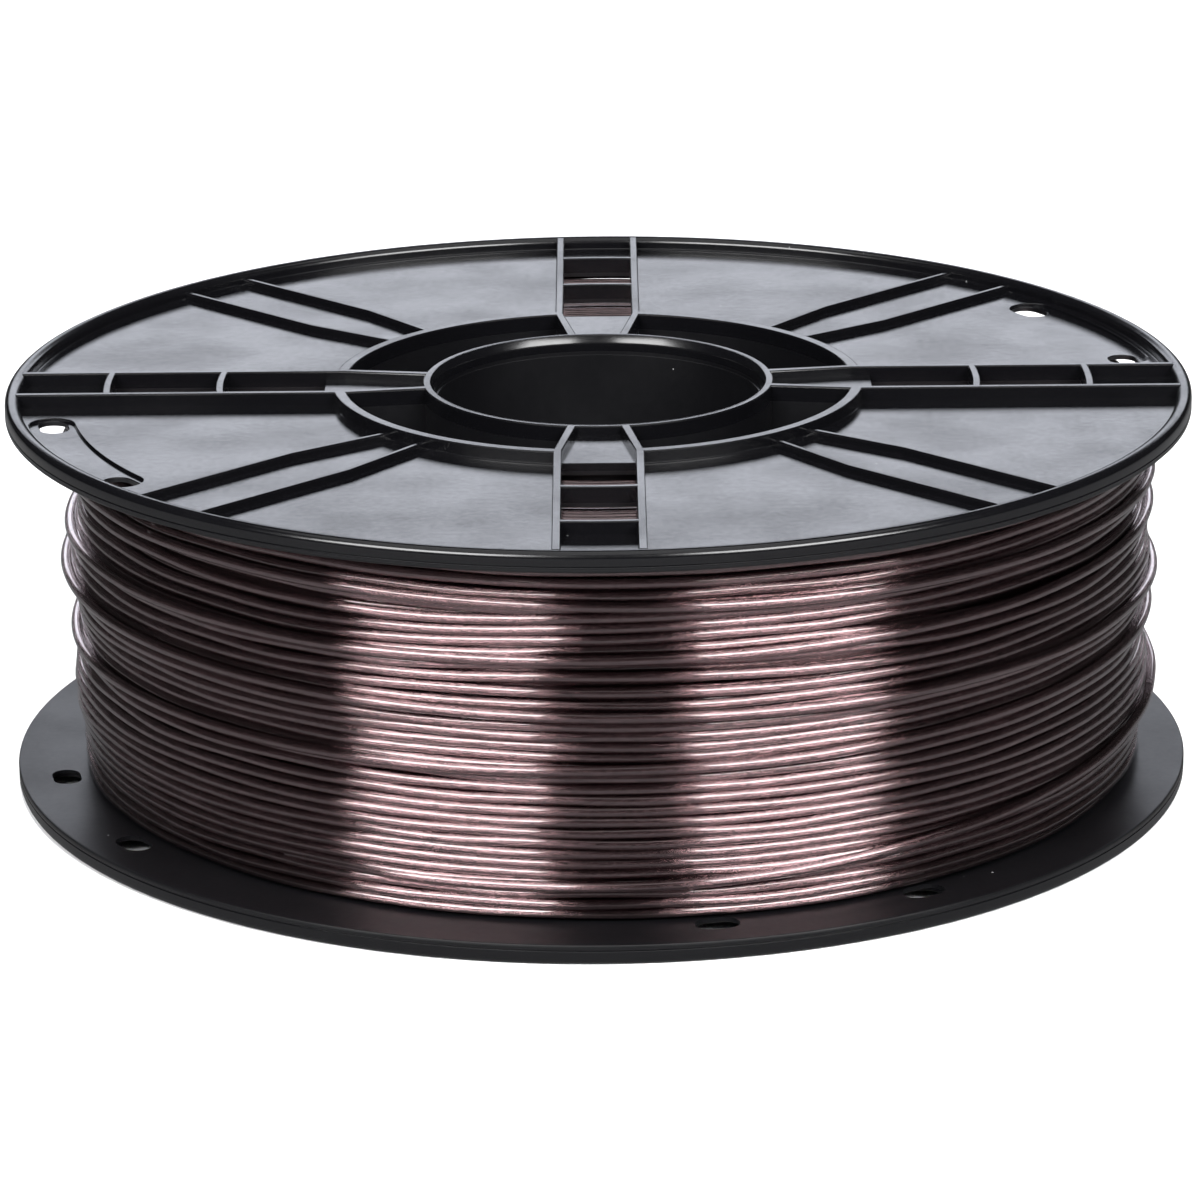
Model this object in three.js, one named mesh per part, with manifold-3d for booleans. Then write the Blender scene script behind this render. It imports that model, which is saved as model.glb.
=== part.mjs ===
// A filament spool lying flat: two moulded halves, each a flange with its share of the drum and
// of the bore tube, and one strand of filament wound between them. Millimetres, +Z up along the
// spool's axis, origin at the centre of the lower flange's outer face.

import * as THREE from 'three';
import { mergeVertices } from 'three/addons/utils/BufferGeometryUtils.js';
import Module from 'manifold-3d';

const wasm = await Module();
wasm.setup();

// Spool
const flangeRadius = 100;
const spoolWidth = 67.6;
const flangeThickness = 3.4;
const jointGap = 0.3; // between the two halves where they meet

// Rim and web of a flange
const rimWidth = 2.6;
const rimRounding = 1.1;
const rimEdgeBreak = 0.3; // chamfer on the rim's inner corner
const webDepth = 2.1; // from the rim's edge down to the web

// Drum and bore
const drumRadius = 44.9;
const drumWall = 2;
const boreRadius = 27.5;
const boreWall = 2.1;
const mouthChamferWidth = 0.9;
const mouthChamferDepth = 1.3;
const mouthDepth = 3.3; // depth of the slightly wider mouth
const mouthStep = 0.2; // by how much the mouth is wider than the bore
const tongueHeight = 4; // the lower half's tongue inside the upper half's drum wall

// Spokes: two rails each, with a shelf at the hub and arc-shaped crossbars
const spokeCount = 4;
const railSpan = 14.8; // across the two rails of a spoke, outside to outside
const railWidth = 1.4;
const hubRailSpan = 10.4;
const hubRailWidth = 1.6;
const shelfDepth = 1.4;
const shelfOverhang = 1.4; // how far the shelf stands out of the drum
const crossbarPitch = 19;
const crossbarWidth = 1.3;

// Pairs of thin ribs half-way between the spokes
const ribWidth = 1.2;
const ribHeight = 1.2;
const ribOffset = 6.9; // from the pair's middle line, outer stretch
const ribHubOffset = 4; // from the pair's middle line, at the drum

// Pairs of holes that hold the strand's end, each pair in a shallow groove
const holeEndClearance = 2.8; // past the strand at each end of a hole
const holeSideClearance = 1.5;
const holeSlantShare = 0.22; // part of a hole's length, either side, that the strand's slant takes
const holeSpread = 22.5; // degrees between the two holes of a pair
const pairAngle = 22.5; // degrees from a spoke to the middle of a pair
const upperPairCount = 2;
const lowerPairCount = 4;
const grooveDepth = 0.5;
const grooveMargin = 1.1; // from the hole's sides to the groove's edges
const grooveRimMargin = 0.9; // from the groove to the rim's wall

// Filament
const strandDiameter = 1.75;
const windingInset = 8.8; // from the flange's edge to the outside of the winding
const windingRounding = 0.8;
const fitGap = 0.3; // between pieces that touch

// Facets
const roundSegments = 72;
const arcSegments = 4;
const cornerSegments = 2;
const strandSides = 8;
const strandSteps = 72;

const halfWidth = spoolWidth / 2;
const innerFace = halfWidth - flangeThickness; // heights in a half are from the spool's mid-plane
const webTop = halfWidth - webDepth;
const rimInnerRadius = flangeRadius - rimWidth;
const tubeRadius = boreRadius + boreWall;
const shelfRadius = drumRadius + shelfOverhang;
const windingRadius = flangeRadius - windingInset;
const holeCircleRadius = windingRadius + fitGap + strandDiameter / 2;
const holeLength = strandDiameter + 2 * holeEndClearance;
const holeWidth = strandDiameter + 2 * holeSideClearance;
const hubRibEnd = tongueHeight + jointGap; // the hub's ribs stop short of the tongue
const overcut = 1;

// Where a spoke's rails and ribs end inside the walls that they join
const tubeX = Math.sqrt((tubeRadius - boreWall / 2) ** 2 - (hubRailSpan / 2) ** 2);
const kinkX = Math.sqrt((drumRadius - drumWall / 2) ** 2 - (railSpan / 2) ** 2);
const drumX = drumRadius - drumWall / 2;
const rimX = rimInnerRadius + rimWidth / 4;

const radians = THREE.MathUtils.degToRad;

function polar(radius, angle) {
  return new THREE.Vector2(radius * Math.cos(angle), radius * Math.sin(angle));
}

function toSolid(geometry) {
  const bare = geometry.clone();
  bare.deleteAttribute('normal');
  bare.deleteAttribute('uv');
  const merged = mergeVertices(bare, 1e-4);
  return new wasm.Manifold(new wasm.Mesh({
    numProp: 3,
    vertProperties: new Float32Array(merged.attributes.position.array),
    triVerts: new Uint32Array(merged.index.array),
  }));
}

function toGeometry(solid) {
  const mesh = solid.getMesh();
  const geometry = new THREE.BufferGeometry();
  geometry.setAttribute('position', new THREE.BufferAttribute(mesh.vertProperties, 3));
  geometry.setIndex(new THREE.BufferAttribute(mesh.triVerts, 1));
  return geometry;
}

// A solid of revolution about Z from a closed outline of [radius, height] pairs.
function turned(outline) {
  const points = outline.map(([radius, height]) => new THREE.Vector2(radius, height));
  points.push(points[0].clone());
  const geometry = new THREE.LatheGeometry(points, roundSegments);
  geometry.rotateX(Math.PI / 2);
  return toSolid(geometry);
}

// A flat shape given a thickness between two heights and turned about Z by an angle in degrees.
function plate(shape, low, high, angle) {
  const geometry = new THREE.ExtrudeGeometry(shape, {
    depth: high - low,
    bevelEnabled: false,
    curveSegments: arcSegments,
  });
  geometry.translate(0, 0, low);
  geometry.rotateZ(radians(angle));
  return toSolid(geometry);
}

function polygon(points) {
  return new THREE.Shape(points.map(([x, y]) => new THREE.Vector2(x, y)));
}

// The part of a ring that lies within halfSpan of the +X axis.
function bay(innerRadius, outerRadius, halfSpan) {
  const inner = Math.asin(halfSpan / innerRadius);
  const outer = Math.asin(halfSpan / outerRadius);
  const shape = new THREE.Shape();
  shape.absarc(0, 0, innerRadius, inner, -inner, true);
  shape.absarc(0, 0, outerRadius, -outer, outer, false);
  return shape;
}

// A rounded corner of an outline, from one angle to another about a centre.
function corner(radius, height, rounding, from, to) {
  return Array.from({ length: cornerSegments + 1 }, (_, i) => {
    const angle = radians(from + (to - from) * i / cornerSegments);
    return [radius + rounding * Math.cos(angle), height + rounding * Math.sin(angle)];
  });
}

// Flange, rim and drum wall of one half. The lower half's drum ends in a tongue at its inside,
// the upper half's in a rebate around that tongue.
function flangeAndDrum(hasTongue) {
  const drumInside = drumRadius - drumWall;
  const lapWall = (drumWall - jointGap) / 2;
  const drumEnd = hasTongue
    ? [[drumRadius, jointGap / 2], [drumInside + lapWall, jointGap / 2],
      [drumInside + lapWall, -tongueHeight], [drumInside, -tongueHeight]]
    : [[drumRadius, jointGap / 2], [drumRadius - lapWall, jointGap / 2],
      [drumRadius - lapWall, tongueHeight + jointGap], [drumInside, tongueHeight + jointGap]];
  return turned([
    ...drumEnd.reverse(),
    [drumRadius, innerFace],
    [flangeRadius - rimEdgeBreak, innerFace],
    [flangeRadius, innerFace + rimEdgeBreak],
    ...corner(flangeRadius - rimRounding, halfWidth - rimRounding, rimRounding, 0, 90),
    [rimInnerRadius, halfWidth],
    [rimInnerRadius, webTop],
    [drumRadius, webTop],
    [drumRadius, halfWidth],
    [drumInside, halfWidth],
  ]);
}

function boreTube() {
  return turned([
    [boreRadius - overcut, jointGap / 2],
    [tubeRadius, jointGap / 2],
    [tubeRadius, halfWidth],
    [boreRadius - overcut, halfWidth],
  ]);
}

// What is cut out of the tube's inside: the bore, its slightly wider mouth and the mouth's chamfer.
function boreCut() {
  const mouthRadius = boreRadius + mouthStep;
  const faceRadius = boreRadius + mouthChamferWidth;
  return turned([
    [0, -overcut],
    [boreRadius, -overcut],
    [boreRadius, halfWidth - mouthDepth],
    [mouthRadius, halfWidth - mouthDepth],
    [mouthRadius, halfWidth - mouthChamferDepth],
    [faceRadius, halfWidth],
    [faceRadius, halfWidth + overcut],
    [0, halfWidth + overcut],
  ]);
}

// Radii of the crossbars' middles, as many as fit between the drum and the rim.
function crossbarRadii() {
  const count = Math.floor((rimInnerRadius - drumRadius) / crossbarPitch);
  return Array.from({ length: count }, (_, i) => drumRadius + (i + 1) * crossbarPitch);
}

// A spoke's rails taper towards the bore tube from where they cross the drum wall.
function hubRail(side) {
  return polygon([
    [tubeX, side * (hubRailSpan / 2 - hubRailWidth)],
    [tubeX, side * hubRailSpan / 2],
    [kinkX, side * railSpan / 2],
    [kinkX, side * (railSpan / 2 - railWidth)],
  ]);
}

function outerRail(side) {
  return polygon([
    [kinkX, side * (railSpan / 2 - railWidth)],
    [kinkX, side * railSpan / 2],
    [rimX, side * railSpan / 2],
    [rimX, side * (railSpan / 2 - railWidth)],
  ]);
}

// The floor of a spoke at the hub, out to the shelf's edge, reaching into both rails.
function shelfPlan() {
  const hubReach = (hubRailSpan - hubRailWidth) / 2;
  const reach = (railSpan - railWidth) / 2;
  return polygon([
    [tubeX, -hubReach],
    [kinkX, -reach],
    [shelfRadius, -reach],
    [shelfRadius, reach],
    [kinkX, reach],
    [tubeX, hubReach],
  ]);
}

// Windows through the flange between a spoke's rails, and the drum wall's gap above the shelf.
function spokeCuts(angle) {
  const bars = crossbarRadii();
  const windows = bay(drumRadius, bars[bars.length - 1], railSpan / 2 - railWidth);
  return [
    plate(windows, innerFace, halfWidth, angle),
    plate(shelfPlan(), halfWidth - shelfDepth, halfWidth + overcut, angle),
  ];
}

function spokeParts(angle) {
  const parts = [plate(shelfPlan(), innerFace, halfWidth - shelfDepth, angle)];
  for (const side of [1, -1]) {
    parts.push(plate(hubRail(side), hubRibEnd, halfWidth, angle));
    parts.push(plate(outerRail(side), innerFace, halfWidth, angle));
  }
  for (const radius of crossbarRadii()) {
    const bar = bay(radius - crossbarWidth / 2, radius + crossbarWidth / 2, (railSpan - railWidth) / 2);
    parts.push(plate(bar, innerFace, halfWidth, angle));
  }
  return parts;
}

// Two ribs that run in parallel from the rim and close in on each other towards the drum.
function ribPair(angle) {
  const kink = drumRadius + crossbarPitch;
  return [1, -1].map((side) => {
    const edge = (x, offset, half) => [x, side * (offset + half)];
    const outline = polygon([
      edge(rimX, ribOffset, ribWidth / 2),
      edge(kink, ribOffset, ribWidth / 2),
      edge(drumX, ribHubOffset, ribWidth / 2),
      edge(drumX, ribHubOffset, -ribWidth / 2),
      edge(kink, ribOffset, -ribWidth / 2),
      edge(rimX, ribOffset, -ribWidth / 2),
    ]);
    return plate(outline, innerFace, webTop + ribHeight, angle);
  });
}

// A slot with round ends, its middle on the +X axis and its length across it.
function hole() {
  const reach = (holeLength - holeWidth) / 2;
  const shape = new THREE.Shape();
  shape.absarc(holeCircleRadius, reach, holeWidth / 2, 0, Math.PI, false);
  shape.absarc(holeCircleRadius, -reach, holeWidth / 2, Math.PI, 2 * Math.PI, false);
  return shape;
}

// The groove that joins a pair of holes, along the rim, with round ends.
function groove() {
  const inner = holeCircleRadius - holeWidth / 2 - grooveMargin;
  const outer = rimInnerRadius - grooveRimMargin;
  const endRadius = (outer - inner) / 2;
  const end = radians(holeSpread / 2);
  const from = polar(inner + endRadius, -end);
  const to = polar(inner + endRadius, end);
  const shape = new THREE.Shape();
  shape.absarc(0, 0, inner, end, -end, true);
  shape.absarc(from.x, from.y, endRadius, Math.PI - end, 2 * Math.PI - end, false);
  shape.absarc(0, 0, outer, -end, end, false);
  shape.absarc(to.x, to.y, endRadius, end, Math.PI + end, false);
  return shape;
}

function pairCuts(angle) {
  return [
    plate(groove(), webTop - grooveDepth, webTop + overcut, angle),
    plate(hole(), innerFace - overcut, webTop + overcut, angle - holeSpread / 2),
    plate(hole(), innerFace - overcut, webTop + overcut, angle + holeSpread / 2),
  ];
}

const join = (whole, part) => whole.add(part);
const cut = (whole, part) => whole.subtract(part);

// One moulded half, its outer face up and the spool's mid-plane at height 0.
function half(pairAngles, hasTongue) {
  const spokeAngles = Array.from({ length: spokeCount }, (_, i) => 360 * i / spokeCount);
  const ribAngles = spokeAngles.map((angle) => angle + 180 / spokeCount);
  const opened = spokeAngles.flatMap(spokeCuts).reduce(cut, flangeAndDrum(hasTongue));
  const ribbed = [boreTube(), ...spokeAngles.flatMap(spokeParts), ...ribAngles.flatMap(ribPair)]
    .reduce(join, opened);
  return toGeometry([boreCut(), ...pairAngles.flatMap(pairCuts)].reduce(cut, ribbed));
}

// The wound filament's outer shape.
function winding() {
  const low = flangeThickness + fitGap;
  const high = spoolWidth - low;
  const edge = windingRadius - windingRounding;
  return toGeometry(turned([
    [drumRadius + fitGap, low],
    ...corner(edge, low + windingRounding, windingRounding, -90, 0),
    ...corner(edge, high - windingRounding, windingRounding, 0, 90),
    [drumRadius + fitGap, high],
  ]));
}

// The strand's last turn: it leaves the winding, climbs over it, comes down and is held by a pair
// of holes in the lower flange, out through the first, along the groove and back in.
function strandRoute() {
  const firstHole = pairAngle + 360 / lowerPairCount - holeSpread / 2;
  const secondHole = firstHole + holeSpread;
  const seated = flangeThickness + fitGap + strandDiameter / 2;
  const inGroove = webDepth + grooveDepth - fitGap - strandDiameter / 2;
  const lean = THREE.MathUtils.radToDeg(holeLength * holeSlantShare / holeCircleRadius);
  const unrolled = new THREE.SplineCurve([
    [-80, seated + 5.6], [-65, seated + 6.8], [-50, seated + 8.2], [-30, seated + 10.2],
    [-10, seated + 12.8], [10, seated + 14.4], [30, seated + 14.2], [50, seated + 12],
    [70, seated + 8.4], [firstHole - 15, seated + 4.8], [firstHole - 6, seated + 2],
    [firstHole - lean, seated], [firstHole + lean, inGroove + 0.1],
    [firstHole + 5, inGroove], [secondHole - 5, inGroove],
    [secondHole - lean, inGroove + 0.1], [secondHole + lean, seated],
    [secondHole + 6, seated + 2], [secondHole + 10, seated + 2.6],
  ].map(([angle, height]) => new THREE.Vector2(angle, height)));
  return unrolled.getPoints(2 * strandSteps).map(({ x: angle, y: height }) => {
    const place = polar(holeCircleRadius, radians(angle));
    return new THREE.Vector3(place.x, place.y, height);
  });
}

function strand() {
  const section = polygon(Array.from({ length: strandSides }, (_, i) => {
    const point = polar(strandDiameter / 2, 2 * Math.PI * i / strandSides);
    return [point.x, point.y];
  }));
  return new THREE.ExtrudeGeometry(section, {
    steps: strandSteps,
    bevelEnabled: false,
    extrudePath: new THREE.CatmullRomCurve3(strandRoute()),
  });
}

const plastic = { color: 0x17181b, roughness: 0.28, metalness: 0 };
const filament = { color: 0x5a3f40, roughness: 0.25, metalness: 0.35 };

function named(name, geometry, finish) {
  const mesh = new THREE.Mesh(geometry, new THREE.MeshStandardMaterial(finish));
  mesh.name = name;
  return mesh;
}

function pairAngles(count, direction) {
  return Array.from({ length: count }, (_, i) => direction * (pairAngle + 360 * i / count));
}

const upperHalf = named('upper_half', half(pairAngles(upperPairCount, 1), false), plastic);
upperHalf.position.z = halfWidth;

const lowerHalf = named('lower_half', half(pairAngles(lowerPairCount, -1), true), plastic);
lowerHalf.position.z = halfWidth;
lowerHalf.rotation.x = Math.PI;

const group = new THREE.Group();
group.add(upperHalf, lowerHalf);
group.add(named('filament_winding', winding(), filament));
group.add(named('filament_end', strand(), filament));

export default group;
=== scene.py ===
"""A filament spool lying flat: two moulded halves and the strand wound between them.

Lengths are in metres. Each half is built with its outer face up and the spool's mid-plane at
height 0, and is then put in its place.
"""

import math

import bmesh
import bpy
import numpy as np
from mathutils import Matrix, Vector


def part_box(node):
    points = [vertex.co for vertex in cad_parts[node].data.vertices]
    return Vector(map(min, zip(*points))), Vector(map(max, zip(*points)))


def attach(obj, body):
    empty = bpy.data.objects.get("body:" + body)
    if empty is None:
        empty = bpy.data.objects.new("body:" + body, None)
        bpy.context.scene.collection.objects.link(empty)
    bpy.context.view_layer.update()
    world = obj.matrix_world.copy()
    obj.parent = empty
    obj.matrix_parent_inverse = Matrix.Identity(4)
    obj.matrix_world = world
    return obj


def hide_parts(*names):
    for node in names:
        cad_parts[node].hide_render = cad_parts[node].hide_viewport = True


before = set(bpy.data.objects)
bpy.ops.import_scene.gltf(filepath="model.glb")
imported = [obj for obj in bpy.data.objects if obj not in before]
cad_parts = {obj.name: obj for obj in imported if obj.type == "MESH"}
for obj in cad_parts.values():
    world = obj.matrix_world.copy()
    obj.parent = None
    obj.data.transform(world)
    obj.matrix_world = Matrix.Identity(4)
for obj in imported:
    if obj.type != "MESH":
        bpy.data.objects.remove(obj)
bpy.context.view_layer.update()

bl_info = {
    "name": "Filament Spool",
    "version": (1, 0, 0),
    "blender": (4, 5, 0),
    "location": "3D Viewport > Sidebar > Spool",
    "description": "Builds a moulded filament spool, its wound strand and a small studio",
    "category": "Add Mesh",
}

# Read from the frame
HALF_LOW, HALF_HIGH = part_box("upper_half")
WINDING_LOW, WINDING_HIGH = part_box("filament_winding")
FLANGE_RADIUS = HALF_HIGH.x
SPOOL_WIDTH = HALF_HIGH.z
HALF_WIDTH = SPOOL_WIDTH / 2
JOINT_GAP = 2 * (HALF_LOW.z - HALF_WIDTH)
TONGUE_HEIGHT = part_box("lower_half")[1].z - HALF_WIDTH
REBATE_HEIGHT = TONGUE_HEIGHT + JOINT_GAP
WINDING_RADIUS = WINDING_HIGH.x

SPIN_STEPS = 256  # facets round a turned shape
TURN_STEPS = 180  # points along one turn of the strand
ROUNDING_STEP = 0.00012  # a rounded corner has a facet for each such step of its radius
SIDES = (1, -1)
OVERCUT = 0.001  # how far a cutter stands out of what it cuts
FILM_WIDTH = 36.0  # of the camera, in millimetres
WHITE = (1.0, 1.0, 1.0)

# The wound strand, in strand diameters
UNDER_DEPTH = 1.43  # of the under layer's middle below the winding's outside
OUTER_DEPTH = 1.35  # of the last full layer's middle, where nothing holds it up
LOOSE_MARGINS = (12, 2)  # from the winding's lower and upper end to the loose turns
SINK_DEPTH = 1.1  # by how much an end of the strand sinks into the layer below

# The loose turns
LOOSE_SWEEP = 0.72  # how far one goes round, as a share of a full turn
LOOSE_START = 0.39  # where it comes out of the layer below, as a share of a full turn from +X
LOOSE_DIP = 0.12  # share of its half length over which it goes back in
LOOSE_LEAST = 0.6  # its least slope, as a share of the most
LOOSE_SWAY = 0.25  # how much it sways, as a share of half its slope
SWAY_RATE = 2.6  # radians of that sway over its half length

# The turns against the flanges, in metres
END_STRAY = 0.00012  # how far they stray from an even spiral
END_LIFT = 0.00027  # how far they lie off the flange
END_UNEVENNESS = 0.00018  # how much that differs along the strand

# The strand's last turn, in degrees from +X and metres above the lowest turn
LAST_TURN = (
    (-125, 0.0046), (-110, 0.0048), (-95, 0.005), (-80, 0.0056), (-65, 0.0068), (-50, 0.0082),
    (-30, 0.0102), (-10, 0.0128), (10, 0.0144), (30, 0.0142), (50, 0.012), (70, 0.0084),
)
LAST_TURN_OUT = -85  # where it is fully out of the layer below
LAST_TURN_DIP = 35  # degrees that it takes to come out
HOLES_AHEAD = 22  # degrees before the first hole where it starts towards the holes' circle
HOLES_REACH = 14  # degrees that it takes to get there
HOLE_SLANT = 0.22  # share of a hole's length that its slant takes up to each side


def number(name, description, default, **settings):
    """A property that holds a number with settings of its own."""
    return bpy.props.FloatProperty(name=name, description=description, default=default, **settings)


def length(name, description, default):
    """A property that holds a length in metres."""
    return number(name, description, default, min=0.0, unit="LENGTH", precision=5)


def angle(name, description, degrees):
    """A property that holds an angle, given in degrees."""
    return number(name, description, math.radians(degrees), unit="ROTATION", subtype="ANGLE")


def share(name, description, default):
    """A property that holds a number from 0 to 1."""
    return number(name, description, default, min=0.0, max=1.0, subtype="FACTOR")


def amount(name, description, default):
    """A property that holds a plain number."""
    return number(name, description, default, min=0.0)


def whole(name, description, default, least=0):
    """A property that holds a whole number."""
    return bpy.props.IntProperty(name=name, description=description, default=default, min=least)


def colour(name, description, default):
    """A property that holds a linear colour."""
    return bpy.props.FloatVectorProperty(
        name=name, description=description, default=default, min=0.0, max=1.0,
        size=3, subtype="COLOR",
    )


class SpoolSizes(bpy.types.PropertyGroup):
    """Sizes of the two moulded halves."""

    flange_thickness: length("Flange thickness", "From the inner face to the rim's edge", 0.0034)
    rim_width: length("Rim width", "Width of the raised rim", 0.0026)
    rim_rounding: length("Rim rounding", "Radius of the rim's outer and inner edges", 0.0012)
    web_depth: length("Web depth", "From the rim's edge down to the web", 0.0021)
    seam_height: length("Seam height", "From the inner face to the mould seam round the rim", 0.001)
    seam_size: length("Seam size", "Depth and half width of the mould seam", 0.00012)
    drum_radius: length("Drum radius", "Outside of the drum that the strand is wound on", 0.0449)
    drum_wall: length("Drum wall", "Thickness of the drum's wall", 0.002)
    bore_radius: length("Bore radius", "Radius of the bore that goes over a spindle", 0.0275)
    bore_wall: length("Bore wall", "Thickness of the bore tube's wall", 0.0021)
    mouth_width: length("Mouth chamfer width", "Width of the chamfer at the bore's mouth", 0.0009)
    mouth_chamfer: length("Mouth chamfer depth", "Depth of the chamfer at the bore's mouth", 0.0013)
    mouth_depth: length("Mouth depth", "Depth of the slightly wider mouth", 0.0033)
    mouth_step: length("Mouth step", "By how much the mouth is wider than the bore", 0.0002)
    spoke_count: whole("Spokes", "Number of spokes", 4, least=1)
    rail_span: length("Rail span", "Across the two rails of a spoke", 0.0148)
    rail_width: length("Rail width", "Width of a rail", 0.0014)
    hub_rail_span: length("Hub rail span", "Across the two rails where they meet the bore tube", 0.0104)
    hub_rail_width: length("Hub rail width", "Width of a rail where it meets the bore tube", 0.0016)
    shelf_depth: length("Shelf depth", "From the rim's edge down to the shelf at the hub", 0.0014)
    shelf_overhang: length("Shelf overhang", "How far the shelf stands out of the drum", 0.0014)
    crossbar_pitch: length("Crossbar pitch", "From one crossbar of a spoke to the next", 0.019)
    crossbar_width: length("Crossbar width", "Width of a crossbar", 0.0013)
    rib_width: length("Rib width", "Width of the thin ribs between the spokes", 0.0012)
    rib_height: length("Rib height", "Height of the thin ribs above the web", 0.0012)
    rib_offset: length("Rib offset", "From a rib pair's middle line, outer stretch", 0.0069)
    rib_hub_offset: length("Rib hub offset", "From a rib pair's middle line, at the drum", 0.004)
    hole_length: length("Hole length", "Length of a hole for the strand's end", 0.00735)
    hole_width: length("Hole width", "Width of a hole for the strand's end", 0.00475)
    hole_spread: angle("Hole spread", "Between the two holes of a pair", 22.5)
    pair_angle: angle("Pair angle", "From a spoke to the middle of a pair of holes", 22.5)
    groove_depth: length("Groove depth", "Depth of the groove that joins a pair of holes", 0.0005)
    groove_margin: length("Groove margin", "From the holes' sides to the groove's edge", 0.0011)
    groove_rim_margin: length("Groove rim margin", "From the groove to the rim's wall", 0.0009)
    edge: length("Edge rounding", "Rounding of the rails' and walls' edges", 0.00026)
    rib_edge: length("Rib edge rounding", "Rounding of the thin ribs' edges", 0.00032)


class FilamentSizes(bpy.types.PropertyGroup):
    """Sizes of the wound strand."""

    diameter: length("Strand diameter", "Diameter of the strand", 0.00175)
    fit_gap: length("Fit gap", "Between the winding and the drum", 0.0003)
    under_turns: whole("Under turns", "Turns in the layer under the outer one", 33, least=2)
    outer_turns: whole("Outer turns", "Turns in the last full layer", 32, least=2)
    loose_turns: whole("Loose turns", "Turns slantwise over the last full layer", 4)
    loose_slope: length("Loose slope", "How far a loose turn rises or sinks on its way round", 0.0042)
    ripple: length("Ripple", "Height of the strand's small bends", 0.00007)
    unevenness: amount("Unevenness", "How unevenly the gaps between turns are spread", 2.4)
    outer_radius: length("Outer radius", "Outside of the last full layer, on average", 0.0909)
    lean: length("Lean", "How far the winding is off the axis, towards the front view's right", 0.0018)
    wave: length("Wave", "Height of the winding's bulges", 0.00065)
    wave_length: length("Wave length", "From one bulge of the winding to the next", 0.0213)
    wave_start: length("Wave start", "Height of the lowest bulge", 0.0182)
    end_pitch: length("End pitch", "From one turn to the next at the winding's two ends", 0.00162)
    seed: whole("Seed", "Picks one way of winding", 7)


class SpoolColours(bpy.types.PropertyGroup):
    """Colours and finishes."""

    plastic: colour("Plastic", "Colour of the moulded halves", (0.004, 0.004, 0.005))
    plastic_roughness: share("Plastic roughness", "Middle roughness of the polished faces", 0.2)
    inner_roughness: share("Inner roughness", "Added on the faces towards the winding", 0.15)
    dust: colour("Dust", "Colour of the dust specks", (0.42, 0.42, 0.43))
    filament: colour("Filament", "Colour of the strand", (0.22, 0.134, 0.14))
    filament_roughness: share("Filament roughness", "Middle roughness of the strand", 0.13)
    floor: colour("Floor", "Colour of the floor", (0.86, 0.86, 0.87))
    bounce: colour("Bounce", "Colour of the floor as the spool reflects it", (0.22, 0.22, 0.224))
    backdrop: colour("Backdrop", "Tint of the lit backdrop", (0.852, 0.891, 1.0))


class StudioSizes(bpy.types.PropertyGroup):
    """The camera, the lights and the floor."""

    camera_distance: length("Camera distance", "From the camera to the upper face's middle", 0.9892)
    camera_elevation: angle("Camera elevation", "Of the camera above the upper face", 15.447)
    camera_tilt: angle("Camera tilt", "Of the camera's view below the horizon", 17.618)
    camera_roll: angle("Camera roll", "Of the camera about its view", -0.51)
    camera_lens: number("Lens", "Focal length in millimetres", 175.35, unit="CAMERA")
    softbox_distance: length("Softbox distance", "From the spool to each softbox", 1.75)
    softbox_left: angle("Left softbox", "Direction of the left softbox, from +X", -126.5)
    softbox_right: angle("Right softbox", "Direction of the right softbox, from +X", -50.5)
    softbox_width: angle("Softbox width", "Across each softbox, as the spool sees it", 42.0)
    softbox_low: angle("Softbox low", "Of the softboxes' lower edge above the spool's middle", 24.0)
    softbox_high: angle("Softbox high", "Of the softboxes' upper edge above the spool's middle", 46.5)
    softbox_glow: amount("Softbox glow", "Brightness of each softbox", 13.5)
    overhead_low: angle("Overhead low", "Of the overhead screen's edge above the spool's middle", 58.0)
    overhead_glow: amount("Overhead glow", "Brightness of the dim screen overhead", 0.25)
    backdrop_radius: length("Backdrop radius", "From the spool to the lit backdrop behind it", 2.3)
    backdrop_sweep: angle("Backdrop sweep", "How far the lit backdrop curves round the spool", 50.0)
    backdrop_low: angle("Backdrop low", "Of the backdrop's lower edge above the spool's middle", 12.5)
    backdrop_high: angle("Backdrop high", "Of the backdrop's upper edge above the spool's middle", 21.5)
    backdrop_glow: amount("Backdrop glow", "Brightness of the lit backdrop", 2.15)
    floor_light: amount("Floor light", "Power of the light that falls only on the floor", 2.2)
    room_strength: amount("Room strength", "Brightness of the dark room round the spool", 0.02)
    floor_radius: length("Floor radius", "Radius of the floor", 5.0)


def flange_low(sizes):
    """Height of the flange's inner face above the mid-plane."""
    return HALF_WIDTH - sizes.flange_thickness


def web_top(sizes):
    """Height of the web above the mid-plane."""
    return HALF_WIDTH - sizes.web_depth


def rim_inner(sizes):
    """Radius of the rim's inner wall."""
    return FLANGE_RADIUS - sizes.rim_width


def tube_outer(sizes):
    """Outside radius of the bore tube."""
    return sizes.bore_radius + sizes.bore_wall


def polar(radius, turned_by):
    """A point in the plane from its radius and its angle in radians."""
    return radius * math.cos(turned_by), radius * math.sin(turned_by)


def arc(radius, start, end, steps, centre=(0.0, 0.0)):
    """Points along an arc, both of its ends included."""
    spots = (polar(radius, start + (end - start) * i / steps) for i in range(steps + 1))
    return [(centre[0] + x, centre[1] + y) for x, y in spots]


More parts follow.
